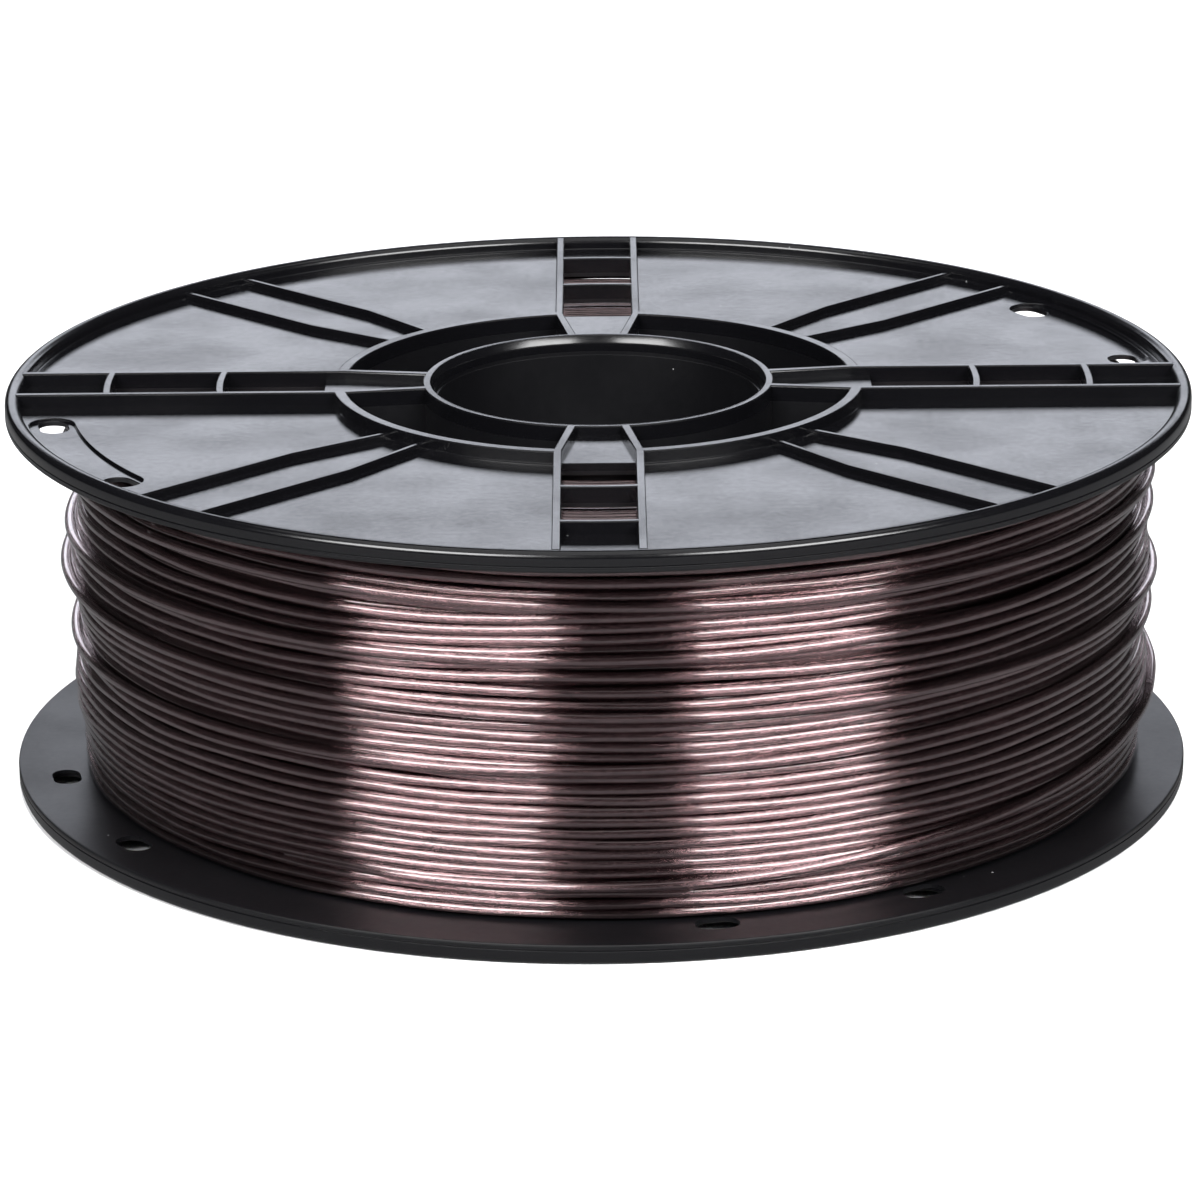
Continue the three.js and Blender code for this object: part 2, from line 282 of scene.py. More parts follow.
def turned(outline):
    """A closed shape of revolution about Z from (radius, height, rounding) corners."""
    bm = bmesh.new()
    corners = [bm.verts.new((radius, 0.0, height)) for radius, height, _ in outline]
    bm.faces.new(corners)
    for corner, (_, _, rounding) in zip(corners, outline):
        if rounding:
            bmesh.ops.bevel(
                bm, geom=[corner], affect="VERTICES", offset=rounding, offset_type="OFFSET",
                segments=max(3, round(rounding / ROUNDING_STEP)), profile=0.5, material=-1,
            )
    bmesh.ops.delete(bm, geom=bm.faces[:], context="FACES_ONLY")
    bmesh.ops.spin(
        bm, geom=bm.verts[:] + bm.edges[:], cent=(0, 0, 0), axis=(0, 0, 1),
        angle=2 * math.pi, steps=SPIN_STEPS, use_merge=True,
    )
    bmesh.ops.recalc_face_normals(bm, faces=bm.faces[:])
    return bm


def plate(outline, low, high, rounding=0.0, turned_by=0.0):
    """A flat outline given a thickness, its upper edges rounded, turned about Z."""
    bm = bmesh.new()
    base = bm.faces.new([bm.verts.new((x, y, low)) for x, y in outline])
    top = bmesh.ops.extrude_face_region(bm, geom=[base], use_keep_orig=True)["geom"]
    raised = [part for part in top if isinstance(part, bmesh.types.BMVert)]
    bmesh.ops.translate(bm, verts=raised, vec=(0, 0, high - low))
    bmesh.ops.recalc_face_normals(bm, faces=bm.faces[:])
    if rounding:
        at_top = high - OVERCUT / 10
        upper = [edge for edge in bm.edges if all(corner.co.z > at_top for corner in edge.verts)]
        bmesh.ops.bevel(
            bm, geom=upper, affect="EDGES", offset=rounding, offset_type="OFFSET",
            segments=3, profile=0.5, material=-1,
        )
    turn_about_z(bm, turned_by)
    return bm


def turn_about_z(bm, turned_by):
    """Turns a bmesh about Z by an angle in radians."""
    bmesh.ops.rotate(bm, verts=bm.verts[:], cent=(0, 0, 0), matrix=Matrix.Rotation(turned_by, 3, "Z"))


def loft(outlines):
    """A closed shape through outlines of equally many points, each given with its height."""
    bm = bmesh.new()
    rings = []
    for outline, height in outlines:
        corners = [bm.verts.new((x, y, height)) for x, y in outline]
        rings.append([bm.edges.new((a, b)) for a, b in zip(corners, corners[1:] + corners[:1])])
    for lower, upper in zip(rings, rings[1:]):
        bmesh.ops.bridge_loops(bm, edges=lower + upper)
    for ring in (rings[0], rings[-1]):
        bmesh.ops.contextual_create(bm, geom=ring)
    bmesh.ops.recalc_face_normals(bm, faces=bm.faces[:])
    return bm


def placed(name, data):
    """A new object in the scene."""
    made = bpy.data.objects.new(name, data)
    bpy.context.scene.collection.objects.link(made)
    return made


def as_object(name, bm):
    """Puts a bmesh into a new object in the scene."""
    mesh = bpy.data.meshes.new(name)
    bm.to_mesh(mesh)
    bm.free()
    return placed(name, mesh)


def final_mesh(made, name):
    """A new mesh of what an object looks like with its modifiers and bevels."""
    evaluated = made.evaluated_get(bpy.context.evaluated_depsgraph_get())
    mesh = bpy.data.meshes.new_from_object(evaluated)
    mesh.name = name
    return mesh


def combined(name, joined, removed):
    """One closed body: the first of joined, with the others joined to it and removed cut out."""
    body = as_object(name, joined[0])
    helpers = []
    for operation, shapes in (("UNION", joined[1:]), ("DIFFERENCE", removed)):
        for shape in shapes:
            helper = as_object("helper", shape)
            step = body.modifiers.new(operation.lower(), "BOOLEAN")
            step.operation = operation
            step.object = helper
            step.solver = "MANIFOLD"
            helpers.append(helper)
    mesh = final_mesh(body, name)
    body.modifiers.clear()
    body.data = mesh
    for helper in helpers:
        bpy.data.objects.remove(helper)
    return body


def smooth(piece, sharp_above=12.0):
    """Shades a piece smooth, except across edges that turn by more than an angle in degrees."""
    piece.data.polygons.foreach_set("use_smooth", [True] * len(piece.data.polygons))
    piece.data.set_sharp_from_angle(angle=math.radians(sharp_above))
    return piece


def declare(piece, material, slot, *nodes):
    """Gives a finished piece its material, hangs it on the root body and hides the parts that it
    replaces.
    """
    piece.data.materials.clear()
    piece.data.materials.append(material)
    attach(piece, "root")
    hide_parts(*nodes)


# ---------------- the two halves


def flange_and_drum(sizes, has_tongue):
    """Flange, rim and drum wall of one half. The drum ends in a tongue or in a rebate for it."""
    outside = sizes.drum_radius
    inside = outside - sizes.drum_wall
    lap = (sizes.drum_wall - JOINT_GAP) / 2
    end, step = (-TONGUE_HEIGHT, inside + lap) if has_tongue else (REBATE_HEIGHT, outside - lap)
    low, web, edge = flange_low(sizes), web_top(sizes), sizes.edge
    seam, groove = low + sizes.seam_height, sizes.seam_size
    return turned([
        (inside, end, 0.0),
        (step, end, 0.0),
        (step, JOINT_GAP / 2, 0.0),
        (outside, JOINT_GAP / 2, 0.0),
        (outside, low, 0.0),
        (FLANGE_RADIUS, low, 1.4 * edge),
        (FLANGE_RADIUS, seam - groove, 0.0),
        (FLANGE_RADIUS - groove, seam, 0.0),
        (FLANGE_RADIUS, seam + groove, 0.0),
        (FLANGE_RADIUS, HALF_WIDTH, sizes.rim_rounding),
        (rim_inner(sizes), HALF_WIDTH, sizes.rim_rounding),
        (rim_inner(sizes), web, edge),
        (outside, web, edge),
        (outside, HALF_WIDTH, edge),
        (inside, HALF_WIDTH, edge),
    ])


def bore_tube(sizes):
    """The tube round the bore, with its slightly wider mouth and the mouth's chamfer."""
    bore, edge = sizes.bore_radius, sizes.edge
    step = bore + sizes.mouth_step
    return turned([
        (bore, JOINT_GAP / 2, edge),
        (tube_outer(sizes), JOINT_GAP / 2, 0.0),
        (tube_outer(sizes), HALF_WIDTH, edge),
        (bore + sizes.mouth_width, HALF_WIDTH, edge / 2),
        (step, HALF_WIDTH - sizes.mouth_chamfer, edge),
        (step, HALF_WIDTH - sizes.mouth_depth, 0.0),
        (bore, HALF_WIDTH - sizes.mouth_depth - sizes.mouth_step / 2, 0.0),
    ])


def rail_ends(sizes):
    """Distances along a spoke: inside the tube's wall, in the drum's wall and inside the rim."""
    in_tube = tube_outer(sizes) - sizes.bore_wall / 3
    in_drum = sizes.drum_radius - sizes.drum_wall / 2
    tube = math.sqrt(in_tube ** 2 - (sizes.hub_rail_span / 2) ** 2)
    kink = math.sqrt(in_drum ** 2 - (sizes.rail_span / 2) ** 2)
    return tube, kink, rim_inner(sizes) + sizes.rim_width / 4


def spoke_parts(sizes, turned_by):
    """Two rails that taper at the hub, a shelf between them there and arc-shaped crossbars."""
    tube, kink, rim = rail_ends(sizes)
    low, edge = flange_low(sizes), sizes.edge
    hub_out, hub_in = sizes.hub_rail_span / 2, sizes.hub_rail_span / 2 - sizes.hub_rail_width
    out, inner = sizes.rail_span / 2, sizes.rail_span / 2 - sizes.rail_width
    parts = []
    for side in SIDES:
        rail = [
            (tube, side * hub_in), (tube, side * hub_out), (kink, side * out),
            (rim, side * out), (rim, side * inner), (kink, side * inner),
        ]
        hub_rib = [rail[0], rail[1], rail[2], rail[5]]
        parts.append(plate(rail, low, HALF_WIDTH, edge, turned_by))
        parts.append(plate(hub_rib, REBATE_HEIGHT, low + sizes.web_depth / 2, 0.0, turned_by))
    shelf_top = HALF_WIDTH - sizes.shelf_depth
    parts.append(plate(shelf_outline(sizes), low, shelf_top, edge / 2, turned_by))
    half_bar = sizes.crossbar_width / 2
    for radius in crossbar_radii(sizes):
        bar = bay(radius - half_bar, radius + half_bar, (out + inner) / 2)
        parts.append(plate(bar, low, HALF_WIDTH, edge, turned_by))
    return parts


def crossbar_radii(sizes):
    """Radii of a spoke's crossbars, as many as fit between the drum and the rim."""
    count = int((rim_inner(sizes) - sizes.drum_radius) / sizes.crossbar_pitch)
    return [sizes.drum_radius + (i + 1) * sizes.crossbar_pitch for i in range(count)]


def shelf_outline(sizes):
    """The floor of a spoke at the hub, out to the shelf's edge, reaching into both rails."""
    tube, kink, _ = rail_ends(sizes)
    hub = (sizes.hub_rail_span - sizes.hub_rail_width) / 2
    reach = (sizes.rail_span - sizes.rail_width) / 2
    edge = sizes.drum_radius + sizes.shelf_overhang
    return [(tube, -hub), (kink, -reach), (edge, -reach), (edge, reach), (kink, reach), (tube, hub)]


def bay(inner, outer, half_span):
    """The part of a ring that lies within half_span of the +X axis."""
    steps = 8
    near, far = math.asin(half_span / inner), math.asin(half_span / outer)
    return arc(inner, near, -near, steps) + arc(outer, -far, far, steps)


def spoke_cuts(sizes, turned_by):
    """Windows between a spoke's rails, and the gap in the drum's wall above the shelf."""
    reach = (sizes.rail_span - sizes.rail_width) / 2
    start = sizes.drum_radius + sizes.shelf_overhang / 4
    windows = bay(start, crossbar_radii(sizes)[-1], reach)
    low, shelf_top = flange_low(sizes) - OVERCUT, HALF_WIDTH - sizes.shelf_depth
    return [
        plate(windows, low, HALF_WIDTH, 0.0, turned_by),
        plate(shelf_outline(sizes), shelf_top, HALF_WIDTH + OVERCUT, 0.0, turned_by),
    ]


def rib_pair(sizes, turned_by):
    """Two thin ribs, parallel from the rim and closing in on each other towards the drum."""
    _, _, rim = rail_ends(sizes)
    drum = sizes.drum_radius - sizes.drum_wall / 2
    kink = sizes.drum_radius + sizes.crossbar_pitch
    half = sizes.rib_width / 2
    stations = [(rim, sizes.rib_offset), (kink, sizes.rib_offset), (drum, sizes.rib_hub_offset)]
    ribs = []
    for side in SIDES:
        outline = [(x, side * (offset + half)) for x, offset in stations]
        outline += [(x, side * (offset - half)) for x, offset in reversed(stations)]
        top = web_top(sizes) + sizes.rib_height
        ribs.append(plate(outline, flange_low(sizes), top, sizes.rib_edge, turned_by))
    return ribs


def hole_radius():
    """Radius of the circle of holes: a strand in them just clears the winding."""
    strand = bpy.context.scene.filament_sizes
    return WINDING_RADIUS + strand.fit_gap + strand.diameter / 2


def hole_outline(sizes, grown):
    """A slot with round ends, its length along the rim."""
    half = sizes.hole_width / 2
    reach = (sizes.hole_length - sizes.hole_width) / 2
    centre = hole_radius()
    steps = 12
    return (
        arc(half + grown, 0, math.pi, steps, (centre, reach))
        + arc(half + grown, math.pi, 2 * math.pi, steps, (centre, -reach))
    )


def groove_outline(sizes, grown):
    """The groove that joins a pair of holes, along the rim, with round ends."""
    inner = hole_radius() - sizes.hole_width / 2 - sizes.groove_margin
    outer = rim_inner(sizes) - sizes.groove_rim_margin
    end_radius, middle, end = (outer - inner) / 2, (outer + inner) / 2, sizes.hole_spread / 2
    ends, sides = 12, 24
    return (
        arc(inner - grown, end, -end, sides)[1:-1]
        + arc(end_radius + grown, math.pi - end, 2 * math.pi - end, ends, polar(middle, -end))
        + arc(outer + grown, -end, end, sides)[1:-1]
        + arc(end_radius + grown, end, math.pi + end, ends, polar(middle, end))
    )


def flared_cut(outline, sizes, low, top, turned_by):
    """A cutter whose opening at the surface has a small chamfer."""
    flare = sizes.edge / 2
    bm = loft([
        (outline(sizes, 0.0), low), (outline(sizes, 0.0), top - flare),
        (outline(sizes, flare), top), (outline(sizes, flare), top + OVERCUT),
    ])
    turn_about_z(bm, turned_by)
    return bm


def pair_cuts(sizes, turned_by):
    """A groove and the two holes in it."""
    web = web_top(sizes)
    floor = web - sizes.groove_depth
    cuts = [flared_cut(groove_outline, sizes, floor, web, turned_by)]
    for side in SIDES:
        spot = turned_by + side * sizes.hole_spread / 2
        cuts.append(flared_cut(hole_outline, sizes, flange_low(sizes) - OVERCUT, floor, spot))
    return cuts


def moulded_half(name, sizes, pair_angles, has_tongue):
    """One moulded half with its outer face up."""
    count = sizes.spoke_count
    spokes = [2 * math.pi * i / count for i in range(count)]
    joined = [bore_tube(sizes)]
    for turned_by in spokes:
        joined += spoke_parts(sizes, turned_by)
        joined += rib_pair(sizes, turned_by + math.pi / count)
    windows = [cut for turned_by in spokes for cut in spoke_cuts(sizes, turned_by)]
    opened = combined(name, [flange_and_drum(sizes, has_tongue)], windows)
    bm = bmesh.new()
    bm.from_mesh(opened.data)
    bpy.data.objects.remove(opened)
    holes = [cut for turned_by in pair_angles for cut in pair_cuts(sizes, turned_by)]
    return combined(name, [bm] + joined, holes)


# ---------------- the strand


def strand_along(points, name, diameter):
    """A round strand with closed ends along a list of points, as a mesh."""
    line = bpy.data.curves.new(name, "CURVE")
    line.dimensions = "3D"
    line.bevel_depth = diameter / 2
    line.bevel_resolution = 3
    line.use_fill_caps = True
    spline = line.splines.new("POLY")
    spline.points.add(len(points) - 1)
    spline.points.foreach_set("co", np.column_stack([points, np.ones(len(points))]).ravel())
    holder = placed(name, line)
    mesh = final_mesh(holder, name)
    bpy.data.objects.remove(holder)
    return placed(name, mesh)


def random_curve(turns, rng, cycles):
    """A smooth random curve along the strand, a sum of waves of given numbers of cycles a turn."""
    places = np.arange(turns * TURN_STEPS) / TURN_STEPS
    total = sum(
        rng.uniform(0.5, 1.0) * np.sin(2 * math.pi * (count * places + rng.random()))
        for count in cycles
    )
    return (total / total.std()).reshape(turns, TURN_STEPS)


def drift(turns, rng):
    """A random curve whose waves have nearly whole cycles, so it changes little turn by turn."""
    waves, cycles, off = 10, 4, 0.14
    return random_curve(turns, rng, [wave % cycles + rng.uniform(-off, off) for wave in range(waves)])


def small_bends(turns, sizes, rng):
    """Small bends of the strand that differ from one turn to the next."""
    fewest_cycles, most_cycles, waves = 6, 20, 8
    return sizes.ripple * random_curve(turns, rng, rng.uniform(fewest_cycles, most_cycles, waves))


def layer_heights(turns, sizes, rng):
    """Heights along a full layer, from one end of the winding to the other."""
    low, high = WINDING_LOW.z + sizes.diameter / 2, WINDING_HIGH.z - sizes.diameter / 2
    gaps = np.exp(sizes.unevenness * drift(turns, rng))
    gaps[0] *= np.linspace(0, 1, TURN_STEPS)
    gaps[-1] = 0.0
    gaps[-2] *= np.linspace(1, 0, TURN_STEPS)
    slack = high - low - sizes.diameter * (turns - 1 + np.linspace(0, 1, TURN_STEPS))
    gaps *= slack / gaps.sum(axis=0)
    rows = [low + (sizes.diameter + gaps[0, 0]) * np.linspace(0, 1, TURN_STEPS, endpoint=False)]
    for row in gaps[:-1]:
        rows.append(rows[-1] + sizes.diameter + row)
    return np.clip(np.array(rows) + small_bends(turns, sizes, rng), low, high)


def surface(sizes, heights, angles):
    """Radius of the winding's outside at given heights and angles: off the axis and with bulges."""
    bulge = np.cos(2 * math.pi * (heights - sizes.wave_start) / sizes.wave_length)
    return sizes.outer_radius + sizes.lean * np.cos(angles) + sizes.wave * bulge


def settled(heights, columns, wound, diameter, base):
    """Radii of a stretch of strand that rests on what is wound, and at least at a base radius."""
    radii = np.array(base)
    for other_heights, other_radii in wound:
        apart = np.abs(heights - other_heights[columns])
        lift = np.sqrt(np.maximum(diameter ** 2 - apart ** 2, 0.0))
        radii = np.where(apart < diameter, np.maximum(radii, other_radii[columns] + lift), radii)
    return radii


def eased(values, reach=4):
    """Smooths values along the strand."""
    weights = np.hanning(2 * reach + 3)[1:-1]
    padded = np.pad(values, reach, mode="edge")
    return np.convolve(padded, weights / weights.sum(), mode="valid")


def wound_layer(sizes, heights, wound, depth, rng):
    """Radii along a layer, turn by turn; its turns are added to those already wound.

    Where nothing holds a turn up, its middle lies at a depth below the winding's outside.
    """
    columns = np.arange(TURN_STEPS)
    angles = 2 * math.pi * columns / TURN_STEPS
    rows = [
        settled(row, columns, wound, sizes.diameter, surface(sizes, row, angles) - depth)
        for row in heights
    ]
    radii = eased(np.concatenate(rows)).reshape(heights.shape)
    radii += small_bends(len(heights), sizes, rng)
    wound.extend(zip(heights, radii))
    return radii


def loose_turn(sizes, wound, height, slope, rng):
    """Points of a part turn that comes out of the last layer, lies slantwise on it and goes back in."""
    count = int(LOOSE_SWEEP * TURN_STEPS)
    columns = (int(LOOSE_START * TURN_STEPS) + np.arange(count)) % TURN_STEPS
    angles = 2 * math.pi * columns / TURN_STEPS
    along = np.linspace(-1, 1, count)
    sway = LOOSE_SWAY * np.sin(SWAY_RATE * along + rng.uniform(-1, 1))
    heights = height + slope / 2 * (along + sway)
    base = surface(sizes, heights, angles) - sizes.diameter
    radii = eased(settled(heights, columns, wound, sizes.diameter, base))
    going_in = np.clip((np.abs(along) - (1 - LOOSE_DIP)) / LOOSE_DIP, 0, 1)
    return on_winding(heights, radii - going_in * SINK_DEPTH * sizes.diameter, angles[0])


def on_winding(heights, radii, first_angle=0.0):
    """Points of a strand from its heights and radii, a turn having TURN_STEPS of them."""
    flat_radii, flat_heights = np.ravel(radii), np.ravel(heights)
    angles = first_angle + 2 * math.pi * np.arange(len(flat_radii)) / TURN_STEPS
    return np.column_stack([flat_radii * np.cos(angles), flat_radii * np.sin(angles), flat_heights])


def winding_layers(sizes):
    """Points of the two outer layers and of the loose turns, by name, and all full turns."""
    rng = np.random.default_rng(sizes.seed)
    diameter = sizes.diameter
    wound, lines = [], {}
    under = layer_heights(sizes.under_turns, sizes, rng)
    under_radii = wound_layer(sizes, under, wound, UNDER_DEPTH * diameter, rng)
    lines["filament_under_layer"] = on_winding(under, under_radii)
    outer = WINDING_LOW.z + WINDING_HIGH.z - layer_heights(sizes.outer_turns, sizes, rng)
    outer_radii = wound_layer(sizes, outer, wound, OUTER_DEPTH * diameter, rng)
    lines["filament_outer_layer"] = on_winding(outer, outer_radii)
    low = WINDING_LOW.z + LOOSE_MARGINS[0] * diameter
    high = WINDING_HIGH.z - LOOSE_MARGINS[1] * diameter
    for i in range(sizes.loose_turns):
        height = low + (high - low) * (i + 0.5) / sizes.loose_turns
        slope = sizes.loose_slope * rng.uniform(LOOSE_LEAST, 1.0) * SIDES[i % 2]
        lines[f"filament_loose_turn_{i + 1}"] = loose_turn(sizes, wound, height, slope, rng)
    return lines, wound


def winding_core(sizes):
    """The turned solid under the outer layers, off the axis as they are."""
    outer = sizes.outer_radius - sizes.wave - (UNDER_DEPTH + 0.5) * sizes.diameter
    inner = bpy.context.scene.spool_sizes.drum_radius + sizes.fit_gap + sizes.lean
    low, high = WINDING_LOW.z + sizes.diameter, WINDING_HIGH.z - sizes.diameter
    rounding = sizes.diameter / 2
    bm = turned([
        (inner, low, 0.0), (outer, low, rounding), (outer, high, rounding), (inner, high, 0.0),
    ])
    bmesh.ops.translate(bm, verts=bm.verts[:], vec=(sizes.lean, 0, 0))
    return bm


def end_turns(sizes, height, rng):
    """Points of the turns that lie against a flange, a flat spiral from the drum outwards."""
    start = bpy.context.scene.spool_sizes.drum_radius + sizes.fit_gap + sizes.diameter / 2
    reach = sizes.outer_radius - sizes.lean - sizes.wave - 2 * sizes.diameter
    count = int((reach - start) / sizes.end_pitch)
    places = np.arange(count * TURN_STEPS) / TURN_STEPS
    radii = start + sizes.end_pitch * places + END_STRAY * drift(count, rng).ravel()
    inward = math.copysign(1.0, HALF_WIDTH - height)
    heights = height + inward * (END_LIFT + END_UNEVENNESS * np.tanh(drift(count, rng).ravel()))
    return on_winding(heights, radii)


def strand_end_points(sizes, spool):
    """The strand's last turn: out of the winding, over it, and through a pair of holes."""
    diameter = sizes.diameter
    seated = WINDING_LOW.z + diameter / 2
    first = math.degrees(spool.pair_angle - spool.hole_spread / 2) + 90
    second = first + math.degrees(spool.hole_spread)
    slant = math.degrees(HOLE_SLANT * spool.hole_length / hole_radius())
    drop = spool.web_depth + spool.groove_depth - sizes.fit_gap - diameter / 2 - seated
    near_drop = drop + 0.0001  # at a hole's end of the groove
    line = smooth_line([
        *LAST_TURN, (first - 15, 0.0048), (first - 6, 0.002),
        (first - slant, 0.0), (first + slant, near_drop), (first + 5, drop),
        (second - 5, drop), (second - slant, near_drop), (second + slant, 0.0),
        (second + 6, 0.002), (second + 10, 0.0026),
    ])
    degrees, heights = line[:, 0], seated + line[:, 1]
    angles = np.radians(degrees)
    columns = np.round(angles / (2 * math.pi) * TURN_STEPS).astype(int) % TURN_STEPS
    _, wound = winding_layers(sizes)
    base = surface(sizes, heights, angles) - diameter
    radii = eased(settled(heights, columns, wound, diameter, base), 5)
    going_in = np.clip((LAST_TURN_OUT - degrees) / LAST_TURN_DIP, 0, 1)
    at_holes = np.clip((degrees - (first - HOLES_AHEAD)) / HOLES_REACH, 0, 1)
    radii = (radii - going_in * SINK_DEPTH * diameter) * (1 - at_holes) + hole_radius() * at_holes
    return np.column_stack([radii * np.cos(angles), radii * np.sin(angles), heights])


def smooth_line(stations, spacing=1.0):
    """Points at an even spacing on a smooth curve through stations of (angle, rise)."""
    angles, rises = np.array(stations, float).T
    slopes = np.gradient(rises, angles)
    places = np.arange(angles[0], angles[-1], spacing)
    before = np.minimum(np.searchsorted(angles, places, side="right") - 1, len(angles) - 2)
    after = before + 1
    span = angles[after] - angles[before]
    t = (places - angles[before]) / span
    blended = (
        (2 * t ** 3 - 3 * t ** 2 + 1) * rises[before]
        + (t ** 3 - 2 * t ** 2 + t) * span * slopes[before]
        + (3 * t ** 2 - 2 * t ** 3) * rises[after]
        + (t ** 3 - t ** 2) * span * slopes[after]
    )
    return np.column_stack([places, blended])


# ---------------- materials


class Shading:
    """A material being built, with short ways to add and join its nodes."""

    def __init__(self, name):
        self.material = bpy.data.materials.new(name)
        self.material.use_nodes = True
        self.tree = self.material.node_tree
        self.shader = self.tree.nodes["Principled BSDF"]
        self.place = self.add("ShaderNodeTexCoord").outputs["Object"]

    def give(self, socket, value):
        """Links a pattern to a socket, or sets the socket's number or colour."""
        if isinstance(value, bpy.types.NodeSocket):
            self.tree.links.new(value, socket)
        else:
            socket.default_value = value

    def set(self, **values):
        """Gives the shader's own sockets their values."""
        for key, value in values.items():
            self.give(self.shader.inputs[key.replace("_", " ")], value)

    def add(self, kind, **settings):
        """Adds a node; settings name its properties, or its sockets with spaces as underscores."""
        node = self.tree.nodes.new(kind)
        for key, value in settings.items():
            if hasattr(node, key):
                setattr(node, key, value)
            else:
                self.give(node.inputs[key.replace("_", " ")], value)
        return node

    def noise(self, scale, detail=2.0, place=None):
        """A noise pattern, its size given as features per metre."""
        place = place or self.place
        return self.add("ShaderNodeTexNoise", Scale=scale, Detail=detail, Vector=place).outputs["Fac"]

    def remap(self, source, from_low, from_high, to_low, to_high):
        """Maps one range of values onto another."""
        node = self.add(
            "ShaderNodeMapRange", Value=source,
            From_Min=from_low, From_Max=from_high, To_Min=to_low, To_Max=to_high,
        )
        return node.outputs["Result"]

    def combine(self, kind, output, *parts, **settings):
        """What a node makes of its inputs, each a socket or a number, in order."""
        node = self.add(kind, **settings)
        for socket, part in zip(node.inputs, parts):
            self.give(socket, part)
        return node.outputs[output]

    def math(self, operation, first, second=0.0):
        """Combines two values."""
        return self.combine("ShaderNodeMath", "Value", first, second, operation=operation)

    def vector(self, *parts):
        """A vector from its parts."""
        return self.combine("ShaderNodeCombineXYZ", "Vector", *parts)

    def mix(self, factor, first, second):
        """A colour between two, by a factor socket."""
        node = self.add("ShaderNodeMix", data_type="RGBA", Factor=factor)
        ends = [socket for socket in node.inputs if socket.type == "RGBA"]
        for socket, tone in zip(ends, (first, second)):
            socket.default_value = (*tone, 1.0)
        return next(socket for socket in node.outputs if socket.type == "RGBA")

    def bump(self, height, distance, **settings):
        """A bump from a height socket, its depth in metres; a small filter width keeps it crisp."""
        settings = {"Filter_Width": 0.1, **settings}
        node = self.add("ShaderNodeBump", Height=height, Distance=distance, **settings)
        return node.outputs["Normal"]


def specks(shading, spacing, size):
    """A mask of small round specks, scattered one to each cell of a given spacing."""
    empty = 0.55  # share of the cells that have no speck
    cells = shading.add("ShaderNodeTexVoronoi", Scale=1 / spacing, Vector=shading.place)
    chance = shading.add("ShaderNodeSeparateColor", Color=cells.outputs["Color"])
    reach = shading.remap(chance.outputs["Red"], empty, 1.0, 0.0, size / spacing)
    return shading.math("LESS_THAN", cells.outputs["Distance"], reach)


def plastic_material(colours):
    """Black moulded plastic: glossy, slightly wavy, with dust specks and fine scuffs.

    It is more satin up to a little beyond the flanges' inner faces.
    """
    shading = Shading("gloss_black_plastic")
    dust = specks(shading, spacing=0.0045, size=0.00016)
    broad = shading.noise(scale=60.0)
    fine = shading.noise(scale=900.0, detail=4.0)
    middle, spread = colours.plastic_roughness, 0.03
    scuffs = shading.remap(broad, 0.35, 0.7, middle - spread, middle + spread)
    grain = shading.remap(fine, 0.3, 0.7, -0.015, 0.02)
    _, _, height = shading.add("ShaderNodeSeparateXYZ", Vector=shading.place).outputs
    from_middle = shading.math("ABSOLUTE", shading.math("SUBTRACT", height, HALF_WIDTH))
    inner = shading.math("LESS_THAN", from_middle, WINDING_HIGH.z - HALF_WIDTH + OVERCUT)
    satin = shading.math("MULTIPLY", inner, colours.inner_roughness)
    rough = shading.math("ADD", shading.math("ADD", scuffs, grain), satin)
    waves = shading.bump(broad, distance=0.00025, Strength=0.13)
    shading.set(
        IOR=1.55,
        Base_Color=shading.mix(dust, colours.plastic, colours.dust),
        Roughness=shading.math("MAXIMUM", rough, shading.math("MULTIPLY", dust, 0.8)),
        Normal=shading.bump(fine, distance=0.00001, Strength=0.3, Normal=waves),
    )
    return shading.material


def filament_material(colours):
    """Silky filament: a pearly body that gleams across the strand, under a clear gloss.

    Its patterns are drawn out along the strand, which runs round the axis.
    """
    shading = Shading("silk_filament")
    x, y, z = shading.add("ShaderNodeSeparateXYZ", Vector=shading.place).outputs
    squares = [shading.math("MULTIPLY", part, part) for part in (x, y)]
    out = shading.math("SQRT", shading.math("ADD", *squares))
    along = shading.math("MULTIPLY", shading.math("ADD", x, y), 0.006)
    drawn = shading.vector(out, z, along)
    streaks = shading.noise(scale=2600.0, place=drawn)
    flakes = shading.noise(scale=30000.0, detail=0.0, place=drawn)
    deep = tuple(0.86 * part for part in colours.filament)
    bright = tuple(min(1.0, 1.14 * part) for part in colours.filament)
    tone = shading.remap(streaks, 0.3, 0.7, 0.0, 1.0)
    middle, spread = colours.filament_roughness, 0.02
    shading.set(
        Metallic=1.0,
        Base_Color=shading.mix(tone, deep, bright),
        Roughness=shading.remap(streaks, 0.3, 0.7, middle - spread, middle + spread),
        Normal=shading.bump(flakes, distance=0.00004, Filter_Width=0.01),
        Tangent=shading.vector(shading.math("MULTIPLY", y, -1.0), x),
        Anisotropic=1.0,
        Anisotropic_Rotation=0.25,
        Coat_Weight=1.0,
        Coat_Roughness=0.05,
        Coat_IOR=1.8,
    )
    return shading.material


def stage_material(name, tone, glow=0.0):
    """A matt stage material in a tone, or one that glows in it."""
    shading = Shading(name)
    shading.set(Roughness=1.0, Specular_IOR_Level=0.0, Emission_Strength=glow)
    shading.set(**{"Emission_Color" if glow else "Base_Color": (*tone, 1.0)})
    return shading.material


# ---------------- the stage


